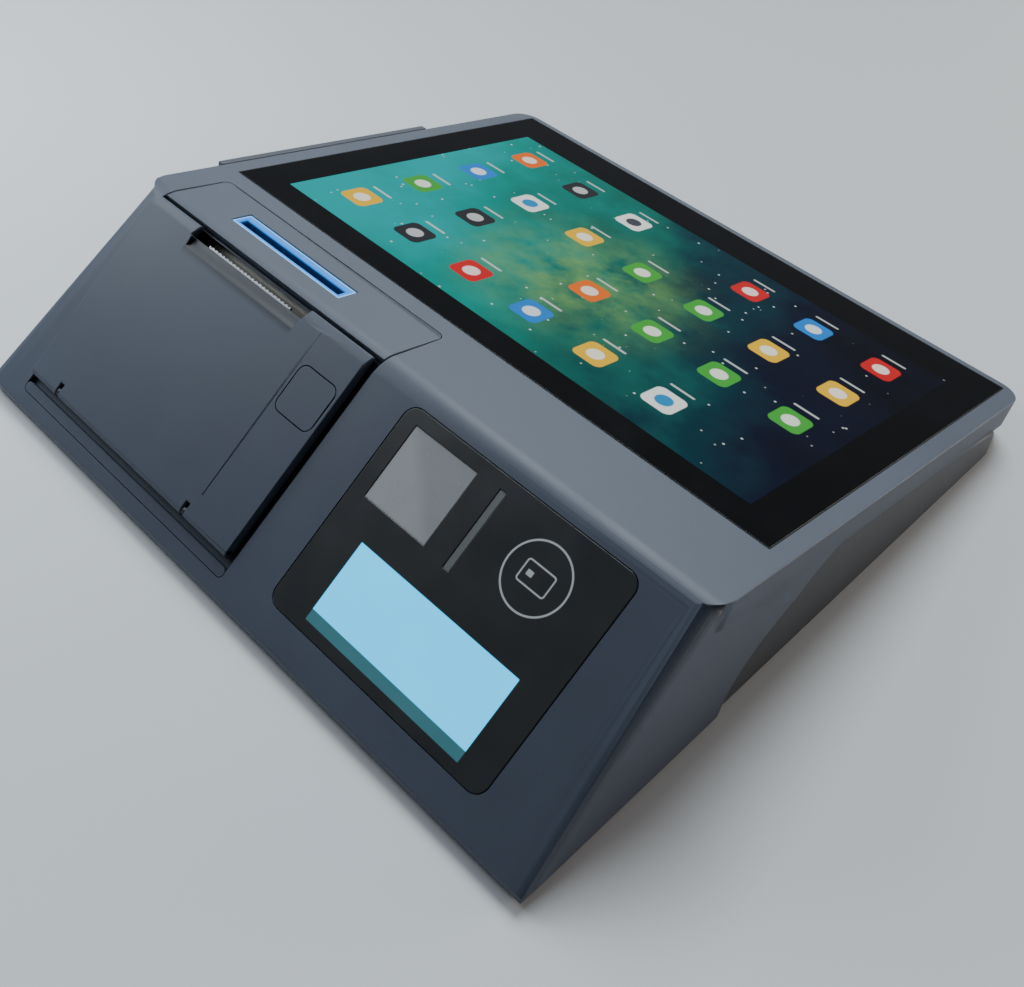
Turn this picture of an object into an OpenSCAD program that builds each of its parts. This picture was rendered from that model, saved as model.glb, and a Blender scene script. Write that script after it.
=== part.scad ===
// Desktop point of sale terminal: a low wedge with a sloping screen deck for the
// operator and a sloping customer face that holds a receipt printer, a code scanner,
// a card tap area and a small customer display.
// Frame: X along the width, +Y towards the operator, +Z up, origin under the centre.

/* [Wedge body] */
// Tilt of the screen deck down towards the operator, in degrees
screen_tilt = 12.5; // [11:0.5:13]
// Slope of the customer face below the horizontal, in degrees
face_slope = 37.7; // [37:0.1:39]
// Length of the customer face, from the ridge down its slope
face_len = 90.5; // [89.5:0.5:100]
// Length of the band of deck between the ridge and the touch glass
deck_band = 35.9; // [35.5:0.1:45]
// Width of the screen deck
deck_w = 261; // [256:1:290]
// Depth of the screen deck's rim
deck_t = 11; // [10:0.5:11.5]
// Radius of the screen deck's corners
deck_corner_r = 9; // [5:0.5:14]
// Radius of the ridge between deck and face
ridge_r = 11; // [6:0.5:14]
// Radius of the upright edges at the sides of the customer face
edge_r = 8; // [6:0.5:10]
// How far the foot of the customer face flares out past the deck, each side
foot_flare = 4.3; // [3:0.1:8]
// How far the body's sides are set in under the deck, each side
side_inset = 1.5; // [1:0.5:4]
// Step from the front column's sides to the chassis sides behind it
side_step = 1.5; // [1.25:0.25:2]
// Depth of the front column at the counter
column_foot = 84; // [80:1:90]
// Depth of the front column under the deck, where its curved back ends
column_back = 150; // [140:1:156]
// How far the rear wall is set in under the operator's edge
rear_setback = 17; // [14:0.5:24]
// Wall thickness of the housing
wall = 3; // [2.5:0.25:3.5]
// Height of the customer face's lower edge above the counter
edge_z = 5; // [5:0.25:9]
// Thickness of the bottom cover
cover_t = 2.5; // [2:0.25:3]
// Gap between fixed pieces that fit into each other
fit_gap = 0.3; // [0.2:0.05:0.4]
// Gap that a moving piece keeps from what surrounds it
run_gap = 0.4; // [0.3:0.05:0.6]

/* [Feet] */
// Height of the rubber feet below the bottom cover
foot_h = 2; // [1.5:0.25:3]
// Diameter of the rubber feet
foot_d = 16; // [12:1:20]

/* [Display] */
// Rim of the deck at each side of the touch glass
glass_rim = 7.2; // [6.5:0.1:10]
// Thickness of the touch glass
glass_t = 1.5; // [1.1:0.1:2]
// Distance of the glass from the operator's edge of the deck
glass_edge = 3.5; // [3:0.5:6]
// Black border at each side of the picture
picture_side = 14.8; // [13:0.1:20]
// Length of the picture area along the deck
picture_l = 134.5; // [130:0.5:150]
// Black border between the picture and the glass's edge on the operator's side
picture_chin = 19.1; // [17:0.1:24]
// Distance from the glass's ridge-side edge to the picture
picture_margin = 12; // [10:0.5:14]
// Thickness of the display module
lcd_t = 4.5; // [3.5:0.25:6]
// Frame of the display module around the picture area
lcd_frame = 4; // [3:0.5:6]
// Thickness of the steel bracket behind the display
bracket_t = 1.2; // [1:0.1:2]

/* [Printer] */
// Distance of the printer module from the deck's side
printer_margin = 12; // [10:0.5:14]
// Width of the printer module
printer_w = 117; // [114:0.5:122]
// Length of the printer module down the face
printer_len = 85.5; // [84.5:0.5:88]
// Length of the printer's top cover along the deck
top_cover_l = 27.7; // [24:0.1:30]
// Radius of the top cover's corners beside the screen
cover_corner_r = 3; // [2:0.5:4]
// Radius of the printer module's lower corners
frame_corner_r = 2; // [1.5:0.1:2]
// Slope of the door's upper edge, where it meets the rounded ridge
door_lip_slope = 25; // [20:1:45]
// How far the printer's front panel stands proud of the face
panel_raise = 2; // [1.5:0.25:2.5]
// Width of the step beside the raised panel
panel_step = 3; // [2:0.25:4]
// Width of the paper
paper_w = 57.5; // [57:0.25:58]
// Diameter of the paper roll
roll_d = 32; // [28:0.5:33]
// Outer diameter of the roll's core
core_d = 17; // [15:0.5:19]
// Bore of the roll's core
core_bore = 12.5; // [11:0.25:13]
// Diameter of the platen roller
platen_d = 10; // [9:0.25:10.5]
// Diameter of the platen shaft
shaft_d = 4; // [3:0.25:5]
// Thickness of the printer door
door_t = 3.8; // [3.4:0.1:4]
// Distance of the left hinge ear from the door's left edge
ear_inset = 16; // [14:0.5:20]
// Distance between the two hinge ears
ear_pitch = 74.4; // [70:0.2:78]
// Thickness of the hinge ears
ear_t = 1.2; // [1:0.1:1.6]
// Width of the paper exit
exit_w = 60; // [59:0.5:62]
// Opening of the paper exit along the face
exit_gap = 4.4; // [4.2:0.1:5]
// Width and height of the release button
button_size = 17; // [14:0.5:17.5]
// Travel of the release button
button_travel = 2.5; // [1.5:0.25:3]
// Length of the light slot in the printer's top cover
light_l = 58; // [50:1:64]
// Width of the light slot
light_w = 8.5; // [6:0.25:9]
// Module of the paper drive's gears
gear_module = 0.6; // [0.5:0.05:0.6]
// Teeth of the platen gear
platen_teeth = 16; // [14:1:16]
// Teeth of the idler gear
idler_teeth = 24; // [20:1:24]
// Teeth of the motor pinion
pinion_teeth = 12; // [12:1:14]
// Face width of the gears
gear_w = 4; // [3:0.25:4.5]
// Backlash cut from each tooth at the pitch circle
backlash = 0.15; // [0.1:0.01:0.2]
// Diameter of the paper motor
motor_d = 15; // [12:0.5:16]
// Length of the paper motor
motor_l = 14; // [10:0.5:15]

/* [Customer window] */
// Share of the face's free width that lies between the printer and the window
window_share = 0.46; // [0.4:0.01:0.5]
// Width of the window
window_w = 93; // [88:0.5:96]
// Distance of the window from the ridge
window_u = 4.6; // [4:0.2:8]
// Length of the window down the face
window_l = 75; // [73:0.5:78]
// Thickness of the window
window_t = 1.5; // [1:0.1:2]
// Corner radius of the window
window_r = 5; // [3:0.5:8]
// Side of the square scan window
scan_size = 26.3; // [22:0.1:28]
// Width of the customer display
cust_w = 66; // [60:0.5:68]
// Length of the customer display down the face
cust_l = 28.4; // [24:0.2:29]
// Thickness of the customer display module
cust_t = 4; // [3:0.25:6]
// Length of the status light bar
bar_l = 28; // [22:0.5:30]
// Width of the status light bar
bar_w = 2.4; // [1.6:0.2:4]
// Side of the card tap antenna board
antenna_size = 34; // [28:0.5:38]

/* [Card rail] */
// Length of the card swipe rail on the deck's side
rail_l = 106.6; // [90:0.2:120]
// Distance of the rail from the ridge
rail_v = 34.6; // [30:0.2:60]
// Width of the swipe slot
swipe_gap = 1.4; // [1:0.1:1.6]
// Depth of the swipe slot
swipe_depth = 9; // [7:0.5:10]

/* [Electronics] */
// Width of the main board
board_w = 140; // [120:1:150]
// Depth of the main board
board_l = 92; // [84:1:96]
// Height of the stand-offs that carry the main board
standoff_h = 7.5; // [6.5:0.25:9]
// Thickness of the circuit boards
board_t = 1.6; // [1.2:0.1:2]
// Diameter of the speaker
speaker_d = 36; // [28:1:40]
// Diameter of the power button
power_d = 7; // [6:0.5:8]
// Travel of the power button
power_travel = 1.5; // [1:0.25:2]

/* [Hidden] */
$fn = 48;
eps = 0.01;
hull_fn = 32;

// Main places, all from the driving sizes
glass_w = deck_w - 2 * glass_rim;
glass_l = picture_margin + picture_l + picture_chin;
picture_w = glass_w - 2 * picture_side;
deck_len = deck_band + glass_l + glass_edge;
face_run = face_len * cos(face_slope);
deck_run = deck_len * cos(screen_tilt);
front_y = -(face_run + deck_run) / 2;
ridge_y = front_y + face_run;
ridge_z = edge_z + face_len * sin(face_slope);
rear_y = ridge_y + deck_run - rear_setback;
body_top_w = deck_w - 2 * side_inset;
body_foot_w = deck_w + 2 * foot_flare;
rear_w = body_top_w - 2 * side_step;
rear_foot_w = body_foot_w - 2 * side_step;
under_z = ridge_z - (column_back - face_run) * tan(screen_tilt) - deck_t / cos(screen_tilt);
rear_lean = (rear_foot_w - rear_w) / 2 / (under_z - foot_h);
rear_r = 22;
cover_top = foot_h + cover_t;

// Display places along the deck
glass_v1 = deck_len - glass_edge;
glass_v0 = glass_v1 - glass_l;
picture_v0 = glass_v0 + picture_margin;
lcd_w = picture_w + 2 * lcd_frame;
lcd_v0 = picture_v0 - lcd_frame;
lcd_l = picture_l + 2 * lcd_frame + 4;
bracket_over = 4;

// Printer places
px0 = -deck_w / 2 + printer_margin;
px1 = px0 + printer_w;
panel_x1 = px1 - panel_step;
door_x0 = px0 + run_gap;
panel_u0 = 1.2;
door_u1 = printer_len - 6.5;
door_n0 = panel_raise - door_t;
exit_u = panel_u0 + exit_gap;
hinge_u = door_u1 - door_t / 2;
hinge_n = panel_raise - door_t / 2;
ledge_n = door_n0 - run_gap - 0.1;
bay_x0 = door_x0 + 8;
bay_x1 = panel_x1 - 1.6;
ears = [door_x0 + ear_inset, door_x0 + ear_inset + ear_pitch];
pin_d = 2;
print_x = door_x0 + 53.4;
roller_l = paper_w + 0.5;
platen_u = exit_u + 5.4;
platen_n = -platen_d / 2 - 2.5;
arm_t = 2;
arm_xl = print_x - roller_l / 2 - arm_t - run_gap;
arm_xr = print_x + roller_l / 2 + run_gap;
gear_x = arm_xr + arm_t + run_gap;
frame_t = 1;
stud_d = 3;
frame_xl = arm_xl - run_gap - frame_t;
frame_xr = gear_x + gear_w + run_gap;
cradle_t = 1.5;
roll_n = -roll_d / 2 - 6;
roll_z = cover_top + cradle_t + run_gap + roll_d / 2;
roll_u = (ridge_z - roll_z + roll_n * cos(face_slope)) / sin(face_slope);
head_angle = 40;
head_t = 1;
sink_t = 3;
mesh_platen = gear_module * (platen_teeth + idler_teeth) / 2;
mesh_pinion = gear_module * (idler_teeth + pinion_teeth) / 2;
idler_lean = 9.6;
idler_u = platen_u - mesh_platen * sin(idler_lean);
idler_n = platen_n - mesh_platen * cos(idler_lean);
pinion_lean = 16;
pinion_u = idler_u + mesh_pinion * sin(pinion_lean);
pinion_n = idler_n - mesh_pinion * cos(pinion_lean);
idler_turn = 180 / idler_teeth;
bx0 = panel_x1 - button_size - 1.8;
button_u0 = 15.8;
button_r = 3;
cup_depth = button_travel + 4.5;
cup_floor = 1.6;
stem_d = 5;

// Customer window places
window_x = px1 + window_share * (deck_w / 2 - px1 - window_w);
scan_x = window_x + 6.3;
scan_u = window_u + 5.1;
cust_x = window_x + 15.2;
cust_u = window_u + 42.5;
bar_x = window_x + 42.9;
bar_u = window_u + 4.6;
tap_x = window_x + 67.1;
tap_u = window_u + 18.1;

// Electronics places
board_x0 = -rear_w / 2 + wall + 0.4;
board_y0 = -24;
board_z = cover_top + standoff_h;
socket_z = board_z + board_t;
side_x = -deck_w / 2;
speaker_x = deck_w / 2 - 68.5;
speaker_y = 10;
power_y = board_y0 + board_l + power_d / 2 + 4;
power_z = cover_top + power_d / 2 + 4.5;
screw_d = 3;

function arc(cy, cz, r, a0, a1, steps) =
    [for (i = [0:steps]) let (a = a0 + (a1 - a0) * i / steps) [cy + r * cos(a), cz + r * sin(a)]];

// A place on the deck: X, distance from the ridge, height above the glass side
module on_deck() {
    translate([0, ridge_y, ridge_z]) rotate([-screen_tilt, 0, 0]) children();
}

// A place on the customer face: X, minus the distance from the ridge, height above the face
module on_face() {
    translate([0, ridge_y, ridge_z]) rotate([face_slope, 0, 0]) children();
}

module deck_block(x0, x1, v0, v1, n0, n1) {
    on_deck() translate([x0, v0, n0]) cube([x1 - x0, v1 - v0, n1 - n0]);
}

module face_block(x0, x1, u0, u1, n0, n1) {
    on_face() translate([x0, -u1, n0]) cube([x1 - x0, u1 - u0, n1 - n0]);
}

// A rod along X at a place on the face, by distance from the ridge and height
module face_rod(x0, x1, u, n, d) {
    on_face() translate([x0, -u, n]) rotate([0, 90, 0]) cylinder(d = d, h = x1 - x0);
}

module round_rect(w, l, r) {
    union() {
        square([w - 2 * r, l], center = true);
        square([w, l - 2 * r], center = true);
        for (sx = [-1, 1], sy = [-1, 1])
            translate([sx * (w / 2 - r), sy * (l / 2 - r)]) circle(r);
    }
}

// A plate with rounded corners on the face
module face_plate(x0, x1, u0, u1, n0, n1, r) {
    on_face() translate([(x0 + x1) / 2, -(u0 + u1) / 2, n0])
        linear_extrude(n1 - n0) round_rect(x1 - x0, u1 - u0, r);
}

// The same on the deck
module deck_round(x0, x1, v0, v1, n0, n1, r) {
    on_deck() translate([(x0 + x1) / 2, (v0 + v1) / 2, n0])
        linear_extrude(n1 - n0) round_rect(x1 - x0, v1 - v0, r);
}

// The front column below the deck, shrunk by a wall for the inside
module column(inset) {
    rise = inset > 0 ? wall : 0;
    r = edge_r - inset;
    foot_top = edge_z - inset * (1 - sin(face_slope)) / cos(face_slope);
    intersection() {
        hull() for (s = [-1, 1]) {
            on_face() translate([s * (body_top_w / 2 - edge_r), -inset, -edge_r])
                rotate([90, 0, 0]) cylinder(r = r, h = 1, $fn = hull_fn);
            for (y = [front_y + edge_r, front_y + column_back])
                translate([s * (body_foot_w / 2 - edge_r), y, foot_h - inset])
                    cylinder(r = r, h = foot_top - foot_h + inset, $fn = hull_fn);
            for (v = [edge_r + 2, column_back])
                on_deck() translate([s * (body_top_w / 2 - edge_r), v, -deck_t + rise])
                    cylinder(r = r, h = 0.5, $fn = hull_fn);
        }
        column_side(inset);
    }
}

// Side view of the column, with its back edge a quarter of an ellipse
module column_side(inset) {
    outline = concat([[front_y - 1, 0]],
        [for (i = [0:12]) [front_y + column_back - (column_back - column_foot) * cos(7.5 * i) - inset,
            foot_h - 1 + (under_z - foot_h + 1) * sin(7.5 * i)]],
        [[front_y + column_back - inset, 2 * ridge_z], [front_y - 1, 2 * ridge_z]]);
    translate([-deck_w, 0, 0]) rotate([90, 0, 90]) linear_extrude(2 * deck_w) polygon(outline);
}

// The chassis behind the column, a step narrower, with leaning sides and a sloping rear wall
module chassis(inset) {
    n = -deck_t + (inset > 0 ? wall + 0.7 : 0.5);
    low = foot_h - inset;
    half = rear_foot_w / 2 - inset;
    top_v = deck_len - rear_setback / 2 - inset;
    place = [for (p = [[deck_t, n], [top_v, n]])
        [ridge_y + p[0] * cos(screen_tilt) + p[1] * sin(screen_tilt),
            ridge_z - p[0] * sin(screen_tilt) + p[1] * cos(screen_tilt)]];
    foot_y = rear_y - inset;
    low_y = foot_y - (foot_h - low) * (place[1][0] - foot_y) / (place[1][1] - foot_h);
    intersection() {
        translate([-deck_w, 0, 0]) rotate([90, 0, 90]) linear_extrude(2 * deck_w)
            polygon([[place[0][0], low], [low_y, low], place[1], place[0]]);
        translate([0, rear_y - deck_len / 2, low - 1]) linear_extrude(ridge_z)
            round_rect(rear_foot_w + 2 - 2 * inset, deck_len + rear_setback - 2 * inset, rear_r - inset);
        translate([0, 2 * deck_len, 0]) rotate([90, 0, 0]) linear_extrude(4 * deck_len)
            polygon([for (p = [[-1, -1], [1, -1], [1, 1], [-1, 1]])
                [p[0] * (half - p[1] * rear_lean * ridge_z), foot_h + p[1] * ridge_z]]);
    }
}

// The side profile that rounds the ridge; its ends lean clear of the deck and the face
module ridge_profile() {
    steps = 10;
    reach = ridge_r * tan((face_slope + screen_tilt) / 2);
    centre_y = -reach * cos(face_slope) + ridge_r * sin(face_slope);
    centre_z = -reach * sin(face_slope) - ridge_r * cos(face_slope);
    crown = arc(centre_y, centre_z, ridge_r, 90 + face_slope, 90 - screen_tilt, steps);
    head = crown[0] + (crown[0] - crown[1]) * face_len * 1.5;
    tail = crown[steps] + (crown[steps] - crown[steps - 1]) * deck_len * 1.5;
    outline = concat([[head[0], -2 * ridge_z], head], crown, [tail, [tail[0], -2 * ridge_z]]);
    translate([-deck_w, ridge_y, ridge_z]) rotate([90, 0, 90]) linear_extrude(2 * deck_w) polygon(outline);
}

module deck_plate(inset, n0, n1) {
    on_deck() translate([0, deck_len / 2, n0])
        linear_extrude(n1 - n0) round_rect(deck_w - 2 * inset, deck_len - 2 * inset, deck_corner_r - inset);
}

// Openings in the left wall for the sockets and the power button
module socket_mouths() {
    for (s = sockets)
        translate([side_x - 5, s[0] - fit_gap, socket_z - fit_gap])
            cube([30, s[1] + 2 * fit_gap, s[2] + 2 * fit_gap]);
    translate([side_x - 5, power_y, power_z]) rotate([0, 90, 0])
        cylinder(d = power_d + 2 * run_gap, h = 30);
}

// Socket rows: start along Y, width, height
usb = [board_y0 + 8, 13.2, 14];
lan = [board_y0 + 27, 16, 13.5];
drawer = [board_y0 + 48, 13.4, 12.5];
jack = [board_y0 + 66, 9.4, 11];
sockets = [usb, lan, drawer, jack];

module upper_housing() {
    color("#4b5262") difference() {
        intersection() {
            union() {
                deck_plate(0, -deck_t, 0);
                column(0);
                chassis(0);
            }
            ridge_profile();
        }
        deck_plate(wall, -deck_t + wall, -wall);
        column(wall);
        chassis(wall);
        // Bed of the touch glass and the opening behind it
        deck_block(-glass_w / 2 - fit_gap, glass_w / 2 + fit_gap, glass_v0 - fit_gap, glass_v1 + fit_gap,
            -glass_t, ridge_r);
        deck_block(-lcd_w / 2 - 1, lcd_w / 2 + 1, lcd_v0 - 1, lcd_v0 + lcd_l + 1, -deck_t / 2, 0);
        // Opening for the printer module
        face_plate(px0, px1, -ridge_r, printer_len, -wall - 1, ridge_r, frame_corner_r);
        deck_round(px0 - 0.1, px1 + 0.1, -ridge_r, top_cover_l, -wall - 1, ridge_r,
            cover_corner_r + fit_gap);
        // Bed of the customer window and the openings behind it
        face_plate(window_x, window_x + window_w, window_u, window_u + window_l, -window_t, 1, window_r);
        face_block(scan_x - 1, scan_x + scan_size + 1, scan_u - 1, scan_u + scan_size + 1, -2 * wall, 0);
        face_block(cust_x - 2, cust_x + cust_w + 2, cust_u - 2, cust_u + cust_l + 2, -2 * wall, 0);
        face_block(bar_x - bar_w / 2 - fit_gap, bar_x + bar_w / 2 + fit_gap, bar_u - fit_gap,
            bar_u + bar_l + fit_gap, -2 * wall, 0);
        // Bed for the card head behind the swipe slot
        deck_block(side_x - 1, side_x + wall + 1, rail_v + rail_l / 2 - 8, rail_v + rail_l / 2 + 8,
            -10, -4);
        socket_mouths();
    }
}

foot_places = [for (sx = [-1, 1], sy = [0, 1])
    [sx * (sy == 0 ? body_foot_w / 2 - 22 : rear_w / 2 - 18), sy == 0 ? front_y + 22 : rear_y - 18]];
screw_places = [for (sx = [-1, 1], sy = [0, 1])
    [sx * (sy == 0 ? body_foot_w / 2 - 40 : rear_w / 2 - 36), sy == 0 ? front_y + 24 : rear_y - 16]];

module bottom_cover() {
    in = wall + fit_gap;
    color("#2b2d31") difference() {
        union() {
            translate([0, 0, foot_h]) linear_extrude(cover_t) union() {
                translate([0, front_y + column_foot / 2 + 1])
                    round_rect(body_foot_w - 2 * in - 1, column_foot - 2 * in - 2, edge_r - in);
                translate([0, (front_y + column_foot / 2 + rear_y) / 2])
                    round_rect(rear_foot_w - 2 * in - 2 * cover_t * rear_lean,
                        rear_y - front_y - column_foot / 2 - 2 * in, rear_r - in);
            }
            for (p = standoff_places)
                translate([p[0], p[1], cover_top - eps]) cylinder(d = 6, h = standoff_h + eps);
            // Collar that holds the speaker
            translate([speaker_x, speaker_y, cover_top - eps]) difference() {
                cylinder(d = speaker_d + 4, h = 4);
                translate([0, 0, -1]) cylinder(d = speaker_d + 2 * fit_gap, h = 6);
            }
        }
        for (p = screw_places)
            translate([p[0], p[1], 0]) cylinder(d = screw_d + 0.4, h = 2 * cover_top);
        for (p = foot_places)
            translate([p[0], p[1], 0]) cylinder(d = foot_d + 2 * fit_gap, h = foot_h + 0.8);
        // Sound slots below the speaker and vent slots below the board
        for (i = [-2:2])
            translate([speaker_x - 10, speaker_y + i * 5 - 1, 0]) cube([20, 2, 2 * cover_top]);
        for (i = [0:7])
            translate([board_x0 + 30 + i * 8, board_y0 + 20, 0]) cube([3, 45, 2 * cover_top]);
    }
}

standoff_places = [for (x = [board_x0 + 5, board_x0 + board_w - 5],
    y = [board_y0 + 4, board_y0 + board_l - 4]) [x, y]];

module rubber_feet() {
    color("#17181a") for (p = foot_places)
        translate([p[0], p[1], 0]) cylinder(d1 = foot_d - 2, d2 = foot_d, h = foot_h + 0.8);
}

module cover_screws() {
    color("silver") for (p = screw_places) translate([p[0], p[1], 0]) difference() {
        union() {
            translate([0, 0, foot_h - 1.4]) cylinder(d = 5.6, h = 1.4);
            translate([0, 0, foot_h - eps]) cylinder(d = screw_d, h = 7);
        }
        for (a = [0, 90]) rotate(a) translate([-1.8, -0.4, 0]) cube([3.6, 0.8, foot_h - 0.6]);
    }
}

module touch_glass() {
    color("#0c0d0f") deck_block(-glass_w / 2, glass_w / 2, glass_v0, glass_v1, -glass_t, 0);
}

module display_module() {
    color("#26282c") difference() {
        deck_block(-lcd_w / 2, lcd_w / 2, lcd_v0, lcd_v0 + lcd_l, -glass_t - lcd_t, -glass_t);
        deck_block(-picture_w / 2, picture_w / 2, picture_v0, picture_v0 + picture_l, -glass_t - 0.2, 0);
    }
}

module display_bracket() {
    n1 = -glass_t - lcd_t;
    color("#9aa0a6") difference() {
        union() {
            deck_block(-lcd_w / 2 - bracket_over, lcd_w / 2 + bracket_over, lcd_v0 - bracket_over + 2,
                lcd_v0 + lcd_l + bracket_over - 2, n1 - bracket_t, n1);
            for (s = [-1, 1], v = [lcd_v0 + 20, lcd_v0 + lcd_l - 20])
                deck_block(s * (lcd_w / 2 + bracket_over) - 2, s * (lcd_w / 2 + bracket_over) + 2,
                    v - 6, v + 6, n1 - bracket_t, -wall);
        }
        for (i = [-2:2])
            deck_block(i * 40 - 14, i * 40 + 14, lcd_v0 + 30, lcd_v0 + lcd_l - 30,
                n1 - 2 * bracket_t, n1 + 1);
    }
}

// Printer top cover, with its flange under the housing's deck
light_x0 = print_x - light_l / 2 - 0.3;
light_v0 = 11;

module printer_top_cover() {
    color("#525a6a") difference() {
        union() {
            intersection() {
                deck_round(px0 + fit_gap, px1 - fit_gap, -ridge_r, top_cover_l - fit_gap, -wall, 0,
                    cover_corner_r);
                ridge_profile();
                top_side();
            }
            deck_block(px0 + fit_gap, px1 - fit_gap, 6, top_cover_l + 3, -wall - 1.5, -wall);
        }
        deck_block(light_x0, light_x0 + light_l, light_v0, light_v0 + light_w, -2 * wall, 1);
    }
}

// The half of the ridge that belongs to the deck, behind the seam at the ridge
module top_side() {
    bisect = (screen_tilt - face_slope) / 2;
    translate([-deck_w, ridge_y, ridge_z]) rotate([-bisect, 0, 0])
        translate([0, fit_gap, -50]) cube([2 * deck_w, 100, 100]);
}

module light_guide() {
    color("#59b6f2") difference() {
        deck_block(light_x0 + fit_gap, light_x0 + light_l - fit_gap,
            light_v0 + fit_gap, light_v0 + light_w - fit_gap, -wall - 2.5, -0.4);
        deck_block(light_x0 + 2, light_x0 + light_l - 2, light_v0 + 1.6, light_v0 + light_w - 3,
            -wall - 1, 0);
    }
}

module light_board() {
    color("#1f6b3a") deck_block(light_x0 - 4, light_x0 + light_l + 4,
        light_v0 - 1.5, light_v0 + light_w + 1.5, -wall - 2.5 - board_t, -wall - 2.5);
}

// Fixed frame behind the door: rails round the paper bay, with ears for the hinge
module printer_frame() {
    color("#33373f") difference() {
        union() {
            face_plate(px0 + fit_gap, px1 - fit_gap, 2.2, printer_len - fit_gap, -wall, ledge_n,
                frame_corner_r - fit_gap);
            face_plate(px0 + fit_gap, px1 - fit_gap, door_u1 + 2.6, printer_len - fit_gap, -wall, 0,
                frame_corner_r - fit_gap);
            face_block(px0 + fit_gap - 3, px1 - fit_gap + 3, 9, printer_len - 1, -wall - 1.5, -wall);
            for (x = ears) {
                face_block(x - ear_t / 2, x + ear_t / 2, hinge_u - 1.6, hinge_u + 1.6, -wall, hinge_n);
                face_rod(x - ear_t / 2, x + ear_t / 2, hinge_u, hinge_n, 3.2);
            }
        }
        face_block(bay_x0, bay_x1, -ridge_r, hinge_u - 2.2, -3 * wall, ridge_r);
        for (x = ears) face_rod(x - ear_t, x + ear_t, hinge_u, hinge_n, pin_d);
    }
}

module printer_door() {
    mid_x = bx0 + button_size / 2;
    mid_u = button_u0 + button_size / 2;
    color("#3f4553") difference() {
        union() {
            face_block(door_x0, panel_x1, panel_u0, hinge_u, door_n0, panel_raise);
            face_rod(door_x0, panel_x1, hinge_u, hinge_n, door_t);
            // Arms that carry the platen shaft
            for (x = [arm_xl, arm_xr]) {
                face_block(x, x + arm_t, platen_u - 3.4, platen_u + 10, platen_n, door_n0 + eps);
                face_rod(x, x + arm_t, platen_u, platen_n, 6.8);
            }
            // Stiffening ribs inside the door
            for (u = [26, 42, 58])
                face_block(bay_x0 + 2, bx0 - 4, u, u + 1.4, door_n0 - 2, door_n0 + eps);
            // Cup that guides the release button
            face_block(bx0 - 1.4, bx0 + button_size + 1.4 - 1.6,
                button_u0 - 1.4, button_u0 + button_size + 1.4, door_n0 - cup_depth, door_n0 + eps);
        }
        // Paper exit and the finger scoop below it
        face_block(print_x - exit_w / 2, print_x + exit_w / 2, 0, exit_u, door_n0 - 1, panel_raise + 1);
        face_rod(print_x - exit_w / 2 + 1, print_x + exit_w / 2 - 1, exit_u - 0.8, panel_raise + 3.6, 12);
        // Shallow line beside the release button
        face_block(bx0 - 1.9, bx0 - 1.4, panel_u0 - 1, hinge_u - 8, panel_raise - 0.3, panel_raise + 1);
        // Bevel along the upper edge
        on_face() translate([door_x0 - 1, -panel_u0, hinge_n]) rotate([90 - door_lip_slope, 0, 0])
            cube([printer_w, 3 * door_t, 3 * door_t]);
        // Well and stem hole of the release button
        face_plate(bx0 - run_gap, bx0 + button_size + run_gap,
            button_u0 - run_gap, button_u0 + button_size + run_gap,
            door_n0 - cup_depth + cup_floor, panel_raise + 1, button_r + run_gap);
        on_face() translate([mid_x, -mid_u, door_n0 - 2 * cup_depth])
            cylinder(d = stem_d + 0.16, h = 2 * cup_depth);
        face_rod(arm_xl - 1, arm_xr + arm_t + 1, platen_u, platen_n, shaft_d + 0.1);
        face_rod(door_x0 - 1, panel_x1 + 1, hinge_u, hinge_n, pin_d + 0.1);
        // Slits for the hinge ears
        for (x = ears)
            face_block(x - ear_t / 2 - run_gap, x + ear_t / 2 + run_gap, hinge_u - 3.2, door_u1 + 1,
                door_n0 - 1, panel_raise + 1);
    }
}

module door_hinge_pins() {
    color("silver") for (x = ears) face_rod(x - 6, x + 6, hinge_u, hinge_n, pin_d);
}

// Serrated steel blade on the door's edge at the paper exit
module tear_bar() {
    n1 = door_n0 + 1.3;
    color("#d9dcdf") difference() {
        face_block(print_x - exit_w / 2 + 8, print_x + exit_w / 2 - 8, exit_u - 0.9, exit_u, n1 - 1.2, n1);
        for (i = [0:21])
            on_face() translate([print_x - 21 + i * 2, -exit_u + 0.9, n1 - 2])
                rotate([0, 0, 45]) translate([-0.35, -0.35, 0]) cube([0.7, 0.7, 3]);
    }
}

module platen_roller() {
    color("#1b1c1f") difference() {
        face_rod(print_x - roller_l / 2, print_x + roller_l / 2, platen_u, platen_n, platen_d);
        face_rod(print_x - roller_l, print_x + roller_l, platen_u, platen_n, shaft_d);
    }
}

module platen_shaft() {
    color("silver") face_rod(arm_xl, gear_x + gear_w, platen_u, platen_n, shaft_d);
}

// Involute gear outline: flank points from the base circle to the tip
function inv(a) = tan(a) * 180 / PI - a;
function flank(rb, r) = r <= rb ? 0 : inv(acos(rb / r));

module gear(teeth, bore, turn) {
    rp = gear_module * teeth / 2;
    rb = rp * cos(20);
    ra = rp + 0.9 * gear_module;
    rf = rp - 1.2 * gear_module;
    half = 90 / teeth - backlash / rp * 90 / PI + flank(rb, rp);
    radii = [for (i = [0:4]) max(rb, rf) + (ra - max(rb, rf)) * i / 4];
    outline = [for (t = [0:teeth - 1], p = concat(
        [[rf, -half], for (r = radii) [r, -half + flank(rb, r)]],
        [for (i = [4:-1:0]) [radii[i], half - flank(rb, radii[i])], [rf, half]]))
        let (a = turn + 360 * t / teeth + p[1]) [p[0] * cos(a), p[0] * sin(a)]];
    linear_extrude(gear_w) difference() {
        polygon(outline);
        circle(d = bore);
    }
}

module gear_at(u, n, teeth, bore, turn) {
    on_face() translate([gear_x, -u, n]) rotate([90, 0, 90]) gear(teeth, bore, turn);
}

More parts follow.
